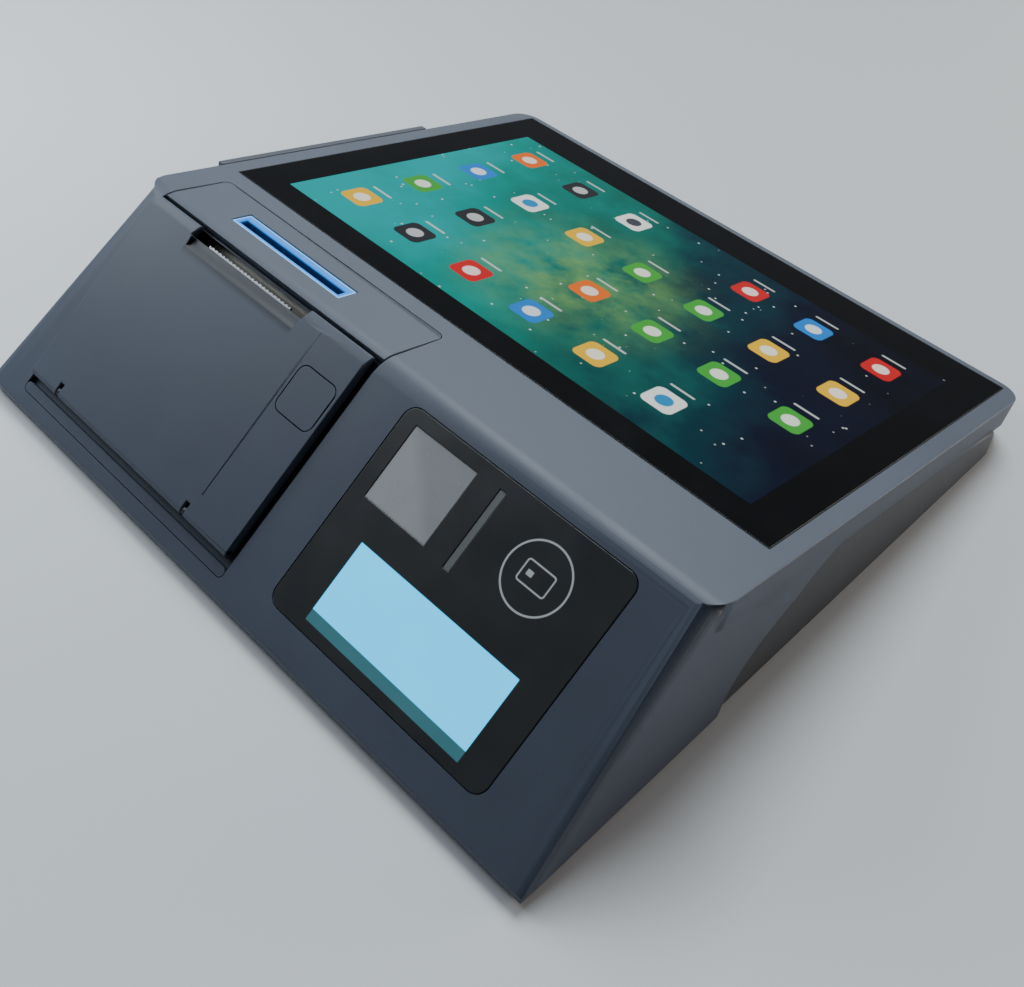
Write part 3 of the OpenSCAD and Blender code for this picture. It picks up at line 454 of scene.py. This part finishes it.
sink_alloy = metal("sink_alloy", (0.06, 0.06, 0.065, 1), 0.45, (900, 120, 900))
finish_nodes(sink_alloy, "processor_heatsink")
socket_steel = metal("socket_steel", (0.62, 0.62, 0.64, 1), 0.32, (120, 900, 900))
finish_nodes(socket_steel, "usb_sockets", "network_socket", "drawer_socket")
black_plastic = plastic("black_plastic", paint(30, 31, 33), 0.48, grain=2200.0)
finish_nodes(black_plastic, "power_socket", "speaker", "card_read_head", "scanner_module")


def soft_copy(node, name, width):
    """A CAD node's shape with its edges rounded."""
    return soften(whole_copy(node, name), width)


power_button = soft_copy("power_button", "power_cap", 0.0003)
power_button.data.materials.append(plastic("power_plastic", paint(96, 100, 108), 0.4))
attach(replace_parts(power_button, "power_button"), "power_button")

# The display: a bare panel module in a folded steel tray, clipped up against the glass
# and carried from below by a bracket of the same plated sheet.
module_alloy = metal("module_alloy", (0.42, 0.43, 0.45, 1), 0.38, (150, 900, 900))
finish_nodes(module_alloy, "display_module", "display_bracket")

# The touch glass: one sheet of hardened glass with a black printed border, bonded flush
# into the rim. The lit picture behind it is a teal-to-navy sky with plain rounded tiles.
glass_v0, glass_v1 = 35.9, 201.5
picture_x, picture_v0, picture_v1 = 108.5, 47.9, 182.4
tile_pitch_x, tile_pitch_v, tile_half, tile_round = 30.0, 32.0, 6.4, 2.8
touch_picture, tree, main = shader("touch_picture")
place, across, along, over = panel_place(tree, screen_tilt)


def box_distance(tree, across, along, middle_x, middle_v, half_x, half_v, corner):
    """How far a point lies outside a rounded rectangle; less than 0 is inside."""
    off_x = calc(tree, "ABSOLUTE", calc(tree, "SUBTRACT", across, middle_x))
    off_v = calc(tree, "ABSOLUTE", calc(tree, "SUBTRACT", along, middle_v))
    far_x = calc(tree, "SUBTRACT", off_x, half_x - corner)
    far_v = calc(tree, "SUBTRACT", off_v, half_v - corner)
    out_x, out_v = calc(tree, "MAXIMUM", far_x, 0.0), calc(tree, "MAXIMUM", far_v, 0.0)
    outside = calc(tree, "SQRT", square_sum(tree, out_x, out_v))
    inside = calc(tree, "MINIMUM", calc(tree, "MAXIMUM", far_x, far_v), 0.0)
    return calc(tree, "SUBTRACT", calc(tree, "ADD", outside, inside), corner)


def inside_of(tree, distance, blur=0.12):
    """1 inside an outline and 0 outside, with a fine soft edge."""
    return spread(tree, distance, -blur, blur, 1.0, 0.0)


def ramp(tree, value, stops, kind="LINEAR"):
    """A colour ramp with the given stops."""
    band = tree.nodes.new("ShaderNodeValToRGB")
    band.color_ramp.interpolation = kind
    marks = band.color_ramp.elements
    while len(marks) < len(stops):
        marks.new(0.5)
    for mark, (position, colour) in zip(marks, stops):
        mark.position, mark.color = position, colour
    feed(tree, band.inputs["Fac"], value)
    return band.outputs["Color"]


picture_v, picture_half = (picture_v0 + picture_v1) / 2, (picture_v1 - picture_v0) / 2
shown = inside_of(tree, box_distance(tree, across, along, 0.0, picture_v, picture_x, picture_half, 0.5))
# The sky behind the tiles: a slow drift of colour, soft clouds, one glow and a few stars.
drift_x, drift_v, sky_start, cloud_share = 0.0041, 0.0021, 0.22, 0.7
drift = calc(tree, "ADD", calc(tree, "MULTIPLY", across, drift_x), calc(tree, "MULTIPLY", along, drift_v))
clouds = calc(tree, "SUBTRACT", noise(tree, place, 0.019, 4.0, 0.55), 0.5)
clouds = calc(tree, "MULTIPLY", clouds, cloud_share)
sky_tone = calc(tree, "ADD", calc(tree, "ADD", drift, sky_start), clouds)
sky = ramp(tree, sky_tone, (
    (0.0, paint(0, 164, 166)), (0.22, paint(0, 140, 130)), (0.42, paint(2, 104, 92)),
    (0.60, paint(2, 52, 62)), (0.80, paint(6, 14, 38)), (1.0, paint(4, 4, 16))))
glow_at, glow_from, glow_to, glow_share = (-8.0, 104.0), 4.0, 62.0, 0.8
glow_x, glow_v = calc(tree, "SUBTRACT", across, glow_at[0]), calc(tree, "SUBTRACT", along, glow_at[1])
glow_reach = calc(tree, "SQRT", square_sum(tree, glow_x, glow_v))
glow = calc(tree, "MULTIPLY", spread(tree, glow_reach, glow_from, glow_to, 1.0, 0.0, "SMOOTHSTEP"),
            spread(tree, noise(tree, place, 0.045, 4.0, 0.6), 0.34, 0.68, 0.0, 1.0))
sky = mix_colour(tree, calc(tree, "MULTIPLY", glow, glow_share), sky, paint(128, 178, 92))
stars = tree.nodes.new("ShaderNodeTexVoronoi")
stars.inputs["Scale"].default_value = 0.16
tree.links.new(place, stars.inputs["Vector"])
star_light = spread(tree, stars.outputs["Distance"], 0.05, 0.10, 0.75, 0.0)
sky = mix_colour(tree, star_light, sky, (0.8, 0.9, 0.9, 1))
# The tiles: a grid with gaps, each with a plain round badge and a faint line under it.
first_row, row_middle, outer_column, tile_share = 55.0, 0.40, 3.5, 0.82
cell_x = calc(tree, "DIVIDE", across, tile_pitch_x)
cell_v = calc(tree, "DIVIDE", calc(tree, "SUBTRACT", along, first_row), tile_pitch_v)
index_x, index_v = calc(tree, "FLOOR", calc(tree, "ADD", cell_x, 0.5)), calc(tree, "FLOOR", cell_v)
tile_x = calc(tree, "MULTIPLY", calc(tree, "SUBTRACT", cell_x, index_x), tile_pitch_x)
tile_v = calc(tree, "SUBTRACT", calc(tree, "SUBTRACT", cell_v, index_v), row_middle)
tile_v = calc(tree, "MULTIPLY", tile_v, tile_pitch_v)
pair = tree.nodes.new("ShaderNodeCombineXYZ")
feed(tree, pair.inputs[0], index_x)
feed(tree, pair.inputs[1], index_v)
which = tree.nodes.new("ShaderNodeTexWhiteNoise")
which.noise_dimensions = "2D"
tree.links.new(pair.outputs[0], which.inputs["Vector"])
lots = tree.nodes.new("ShaderNodeSeparateColor")
tree.links.new(which.outputs["Color"], lots.inputs[0])
chosen = calc(tree, "LESS_THAN", lots.outputs[1], tile_share)
in_column = calc(tree, "LESS_THAN", calc(tree, "ABSOLUTE", index_x), outer_column)
held = calc(tree, "MULTIPLY", chosen, in_column)
tile_paints = (
    (0.0, (240, 243, 243), (30, 140, 200)), (0.14, (236, 112, 30), (250, 236, 220)),
    (0.28, (44, 46, 50), (190, 194, 198)), (0.38, (204, 34, 36), (250, 230, 226)),
    (0.52, (64, 166, 60), (236, 246, 232)), (0.64, (242, 244, 244), (70, 74, 82)),
    (0.78, (24, 128, 218), (232, 240, 250)), (0.90, (240, 190, 40), (250, 246, 226)))
pick = which.outputs["Value"]
tile_colour = ramp(tree, pick, [(stop, paint(*ground)) for stop, ground, spot in tile_paints], "CONSTANT")
badge_colour = ramp(tree, pick, [(stop, paint(*spot)) for stop, ground, spot in tile_paints], "CONSTANT")
badge_half, badge_round, caption_v, caption_x, caption_half = 3.3, 3.2, 10.4, 5.2, 0.55
tile = box_distance(tree, tile_x, tile_v, 0.0, 0.0, tile_half, tile_half, tile_round)
badge = box_distance(tree, tile_x, tile_v, 0.0, 0.0, badge_half, badge_half, badge_round)
caption = box_distance(tree, tile_x, tile_v, 0.0, caption_v, caption_x, caption_half, 0.5)
tile, badge, caption = (inside_of(tree, outline, 0.2) for outline in (tile, badge, caption))
icon = mix_colour(tree, badge, tile_colour, badge_colour)
picture = mix_colour(tree, calc(tree, "MULTIPLY", tile, held), sky, icon)
caption = calc(tree, "MULTIPLY", calc(tree, "MULTIPLY", caption, held), 0.7)
picture = mix_colour(tree, caption, picture, (0.75, 0.8, 0.8, 1))
picture_depth = 1.2
front_side = calc(tree, "GREATER_THAN", over, -picture_depth)
feed(tree, main.inputs["Emission Color"],
     mix_colour(tree, calc(tree, "MULTIPLY", shown, front_side), (0, 0, 0, 1), picture))
main.inputs["Emission Strength"].default_value = 1.0
smear = noise(tree, place, 0.035, 4.0, 0.6)
feed(tree, main.inputs["Base Color"], mix_colour(tree, smear, paint(9, 10, 11), paint(16, 17, 19)))
feed(tree, main.inputs["Roughness"], spread(tree, smear, 0.35, 0.7, 0.05, 0.14))
main.inputs["IOR"].default_value = 1.5
main.inputs["Specular IOR Level"].default_value = 0.25
glass = soft_copy("touch_glass", "touch_sheet", 0.0001)
glass.data.materials.append(touch_picture)
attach(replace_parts(glass, "touch_glass"), "chassis")
# The gasket: a black foam ring that fills the gap round the glass.
glass_half, gasket_gap, gasket_play, gasket_top, gasket_depth = 123.3, 0.26, 0.03, -0.1, 1.3
bpy.ops.object.select_all(action="DESELECT")
bpy.ops.mesh.primitive_plane_add(size=1)
gasket = bpy.context.active_object
gasket.name = "glass_gasket"
gasket.scale = ((glass_half + gasket_gap) / 500, (glass_v1 - glass_v0 + 2 * gasket_gap) / 1000, 1)
bpy.ops.object.transform_apply(location=False, rotation=False, scale=True)
bpy.ops.object.mode_set(mode="EDIT")
bpy.ops.mesh.select_mode(type="FACE")
bpy.ops.mesh.select_all(action="SELECT")
bpy.ops.mesh.inset(thickness=(gasket_gap - gasket_play) / 1000)
bpy.ops.mesh.delete(type="FACE")
bpy.ops.mesh.select_all(action="SELECT")
bpy.ops.mesh.extrude_region_move(TRANSFORM_OT_translate={"value": (0, 0, -gasket_depth / 1000)})
bpy.ops.mesh.select_all(action="SELECT")
bpy.ops.mesh.normals_make_consistent(inside=False)
bpy.ops.object.mode_set(mode="OBJECT")
gasket_middle = Vector((0, (glass_v0 + glass_v1) / 2, gasket_top)) / 1000
gasket.matrix_world = (Matrix.Translation(ridge) @ Matrix.Rotation(-screen_tilt, 4, "X")
                       @ Matrix.Translation(gasket_middle))
bpy.ops.object.transform_apply(location=True, rotation=True, scale=True)
gasket.data.materials.append(plastic("gasket_foam", paint(16, 16, 17), 0.8, grain=3000.0, relief=0.4))
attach(gasket, "chassis")

# The printer frame and cradle: black glass-filled mouldings that carry the paper roll in
# an open trough behind the door and are screwed to the housing's ribs.
frame_plastic = plastic("frame_plastic", paint(30, 35, 43), 0.6, grain=1500.0, relief=0.4)
finish_nodes(frame_plastic, "paper_cradle", "mechanism_frame")
sill_u = 79.4
sill_plastic = plastic("sill_plastic", slate, 0.46)
tree = sill_plastic.node_tree
along = panel_place(tree, -face_slope)[2]
overpaint(sill_plastic, calc(tree, "GREATER_THAN", along, -sill_u), paint(24, 28, 36))
finish_nodes(sill_plastic, "printer_frame")

# The feed train: a small stepper motor, white acetal gears, and a ground steel shaft
# with a rubber platen that presses the paper on a ceramic thermal head.
finish_nodes(metal("motor_steel", (0.50, 0.50, 0.52, 1), 0.36, (150, 900, 900)), "paper_motor")
finish_nodes(plastic("gear_acetal", paint(222, 220, 212), 0.38, grain=1200.0, contrast=0.04),
             "platen_gear", "idler_gear", "motor_pinion")
finish_nodes(plastic("platen_rubber", paint(44, 44, 46), 0.75, grain=1600.0, relief=0.4), "platen_roller")
ground_steel = metal("ground_steel", (0.64, 0.64, 0.66, 1), 0.22, (900, 120, 120))
finish_nodes(ground_steel, "platen_shaft", "door_hinge_pins")
finish_nodes(plastic("head_ceramic", paint(206, 200, 186), 0.3, grain=900.0, contrast=0.06), "print_head")
finish_nodes(metal("head_alloy", (0.60, 0.61, 0.63, 1), 0.4, (150, 900, 900)), "head_heatsink")

# The paper: a roll of white thermal paper wound on a brown card core. It isn't fixed: it
# lies loose in the cradle and turns as the platen draws it.
roll_low, roll_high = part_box("paper_roll")
roll_paper, tree, main = shader("roll_paper")
centred = tree.nodes.new("ShaderNodeMapping")
centred.inputs["Location"].default_value = -(roll_low + roll_high) / 2
tree.links.new(object_place(tree), centred.inputs["Vector"])
parts = tree.nodes.new("ShaderNodeSeparateXYZ")
tree.links.new(centred.outputs[0], parts.inputs[0])
layer_waves, layer_share = 14000.0, 0.25
wound = calc(tree, "SQRT", square_sum(tree, parts.outputs[1], parts.outputs[2]))
rings = calc(tree, "SINE", calc(tree, "MULTIPLY", wound, layer_waves))
layers = calc(tree, "ADD", calc(tree, "MULTIPLY", rings, layer_share),
              noise(tree, centred.outputs[0], 700.0, 3.0))
feed(tree, main.inputs["Base Color"], mix_colour(tree, layers, paint(214, 214, 212), paint(243, 243, 240)))
feed(tree, main.inputs["Roughness"], spread(tree, layers, 0.2, 0.8, 0.6, 0.75))
bump(tree, main, layers, 0.2)
finish_nodes(roll_paper, "paper_roll")
finish_nodes(plastic("core_card", paint(150, 132, 108), 0.85, grain=800.0, relief=0.5), "paper_core")

# The printer's top cover: a slate moulding let into the deck ahead of the screen, lit
# through a clear slot by a strip of blue lamps on a small board below it.
cover = soft_copy("printer_top_cover", "top_cover_shell", 0.0004)
cover_plastic = plastic("cover_plastic", slate, 0.5)
cover.data.materials.append(cover_plastic)
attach(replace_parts(cover, "printer_top_cover"), "chassis")
lit_acrylic, tree, main = shader("lit_acrylic")
place, across, along, over = panel_place(tree, screen_tilt)
slot_v0, slot_v1, slot_x, slot_half = 11.0, 19.5, -65.0, 29.0
lip_low, lip_high, line_in, line_out = -1.3, -0.6, -1.0, -0.75
well_low, well_high, well_light = -4.0, -1.2, 0.10
haze = noise(tree, place, 0.35, 3.0)
rim = spread(tree, over, lip_low, lip_high, 0.0, 1.0)
slot_v, slot_deep = (slot_v0 + slot_v1) / 2, (slot_v1 - slot_v0) / 2
outer = box_distance(tree, across, along, slot_x, slot_v, slot_half, slot_deep, 0.3)
line = spread(tree, outer, line_in, line_out, 0.0, 1.0)
bright = calc(tree, "ADD", calc(tree, "MULTIPLY", line, 0.4), 0.55)
shine = calc(tree, "ADD", calc(tree, "MULTIPLY", rim, bright), calc(tree, "MULTIPLY", haze, 0.08))
well = spread(tree, over, well_low, well_high, 0.0, well_light)
well = calc(tree, "MULTIPLY", calc(tree, "SUBTRACT", 1.0, rim), well)
shine = calc(tree, "ADD", shine, well)
feed(tree, main.inputs["Emission Color"], ramp(tree, shine, (
    (0.0, paint(0, 6, 16)), (0.12, paint(2, 24, 56)),
    (0.55, paint(36, 132, 232)), (1.0, paint(140, 208, 255)))))
main.inputs["Emission Strength"].default_value = 1.15
feed(tree, main.inputs["Base Color"], mix_colour(tree, shine, paint(2, 10, 24), paint(50, 120, 200)))
feed(tree, main.inputs["Roughness"], spread(tree, haze, 0.3, 0.7, 0.12, 0.25))
finish_nodes(lit_acrylic, "light_guide")

# The printer door: a slate moulding that swings down toward the customer on two pins,
# with a scooped paper exit, a steel tear bar at its lip and a sprung release button.
door = soft_copy("printer_door", "door_shell", 0.0004)
door_plastic = plastic("door_plastic", slate, 0.5)
tree = door_plastic.node_tree
across, along = panel_place(tree, -face_slope)[1:3]
# Painted shade: across the paper exit the door is painted near-black at its top, fading out further down
# the face.
exit_x, exit_half, scoop_top, scoop_end, scoop_shade_strength = -64.7, 29.4, -9.2, -13.0, 0.9
in_exit = calc(tree, "LESS_THAN", calc(tree, "ABSOLUTE", calc(tree, "SUBTRACT", across, exit_x)), exit_half)
painted_scoop_shade = spread(tree, along, scoop_end, scoop_top, 0.0, scoop_shade_strength, "SMOOTHSTEP")
overpaint(door_plastic, calc(tree, "MULTIPLY", painted_scoop_shade, in_exit), paint(18, 21, 27))
door.data.materials.append(door_plastic)
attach(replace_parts(door, "printer_door"), "printer_door")
finish_nodes(metal("tear_steel", (0.26, 0.27, 0.28, 1), 0.4, (120, 900, 900)), "tear_bar")
button = soft_copy("release_button", "release_cap", 0.0005)
button.data.materials.append(cover_plastic)
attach(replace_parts(button, "release_button"), "release_button")

# The customer window: a black satin acrylic panel stuck into the face. A small lit
# display, a grey scan window, a lamp bar and a printed place to hold a card show in it.
window_face, tree, main = shader("window_face")
place, across, along = panel_place(tree, -face_slope)[:3]
down = calc(tree, "MULTIPLY", along, -1.0)
display_x, display_half, display_u0, display_u1, strip_u1 = 64.7, 33.0, 47.1, 72.0, 75.5
display_u, display_deep = (display_u0 + display_u1) / 2, (display_u1 - display_u0) / 2
strip_u, strip_deep = (display_u1 + strip_u1) / 2, (strip_u1 - display_u1) / 2 + 0.15
lit = box_distance(tree, across, down, display_x, display_u, display_half, display_deep, 0.3)
strip = box_distance(tree, across, down, display_x, strip_u, display_half, strip_deep, 0.3)
lit, strip = inside_of(tree, lit), inside_of(tree, strip)
wash = noise(tree, place, 0.05, 3.0)
lit_colour = mix_colour(tree, wash, paint(0, 184, 242), paint(2, 190, 248))
strip_colour = mix_colour(tree, wash, paint(24, 66, 74), paint(30, 74, 82))
glowing = mix_colour(tree, strip, mix_colour(tree, lit, (0, 0, 0, 1), lit_colour), strip_colour)
feed(tree, main.inputs["Emission Color"], glowing)
main.inputs["Emission Strength"].default_value = 2.15
# The printed mark: a ring round a plain card outline with its chip.
mark_x, mark_u, ring_r, ring_line, print_blur = 83.6, 22.7, 10.9, 0.3, 0.1
card_half, card_deep, card_round, card_line = 5.2, 3.5, 0.9, 0.25
chip_x, chip_half, chip_deep, chip_round = 81.2, 1.1, 0.9, 0.3
far_x, far_u = calc(tree, "SUBTRACT", across, mark_x), calc(tree, "SUBTRACT", down, mark_u)
reach = calc(tree, "SQRT", square_sum(tree, far_x, far_u))
ring = calc(tree, "ABSOLUTE", calc(tree, "SUBTRACT", reach, ring_r))
ring = inside_of(tree, calc(tree, "SUBTRACT", ring, ring_line), print_blur)
card = box_distance(tree, across, down, mark_x, mark_u, card_half, card_deep, card_round)
card = calc(tree, "SUBTRACT", calc(tree, "ABSOLUTE", card), card_line)
card = inside_of(tree, card, print_blur)
chip = box_distance(tree, across, down, chip_x, mark_u, chip_half, chip_deep, chip_round)
chip = inside_of(tree, chip, print_blur)
printed = calc(tree, "MAXIMUM", calc(tree, "MAXIMUM", ring, card), chip)
satin = mix_colour(tree, wash, paint(42, 43, 45), paint(50, 51, 53))
feed(tree, main.inputs["Base Color"], mix_colour(tree, printed, satin, paint(206, 208, 208)))
feed(tree, main.inputs["Roughness"], spread(tree, wash, 0.3, 0.7, 0.30, 0.40))
window = soft_copy("customer_window", "window_panel", 0.0003)
window.data.materials.append(window_face)
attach(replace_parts(window, "customer_window"), "chassis")
scan_glass, tree, main = shader("scan_glass")
place, across, along = panel_place(tree, -face_slope)[:3]
# Painted reflection: the scan window is painted lighter on one side of a diagonal line and darker on the
# other, mixed with a random haze.
diagonal_reflection = spread(tree, calc(tree, "ADD", across, along), 10.0, 16.0, 0.0, 1.0)
haze = noise(tree, place, 0.12, 3.0)
grey = calc(tree, "ADD", calc(tree, "MULTIPLY", diagonal_reflection, 0.5), calc(tree, "MULTIPLY", haze, 0.5))
feed(tree, main.inputs["Base Color"], mix_colour(tree, grey, paint(176, 177, 178), paint(150, 151, 153)))
feed(tree, main.inputs["Roughness"], spread(tree, haze, 0.3, 0.7, 0.18, 0.3))
finish_nodes(scan_glass, "scan_window")
bar_acrylic = plastic("bar_acrylic", paint(116, 118, 118), 0.35, grain=900.0)
finish_nodes(bar_acrylic, "status_light_bar")
finish_nodes(module_alloy, "customer_display")

# The card rail: a slot moulding screwed along the housing's left edge, with the magnetic
# read head standing in its channel.
rail = soft_copy("card_swipe_rail", "card_rail_shell", 0.0004)
rail.data.materials.append(plastic("rail_plastic", paint(62, 66, 76), 0.5))
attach(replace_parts(rail, "card_swipe_rail"), "chassis")
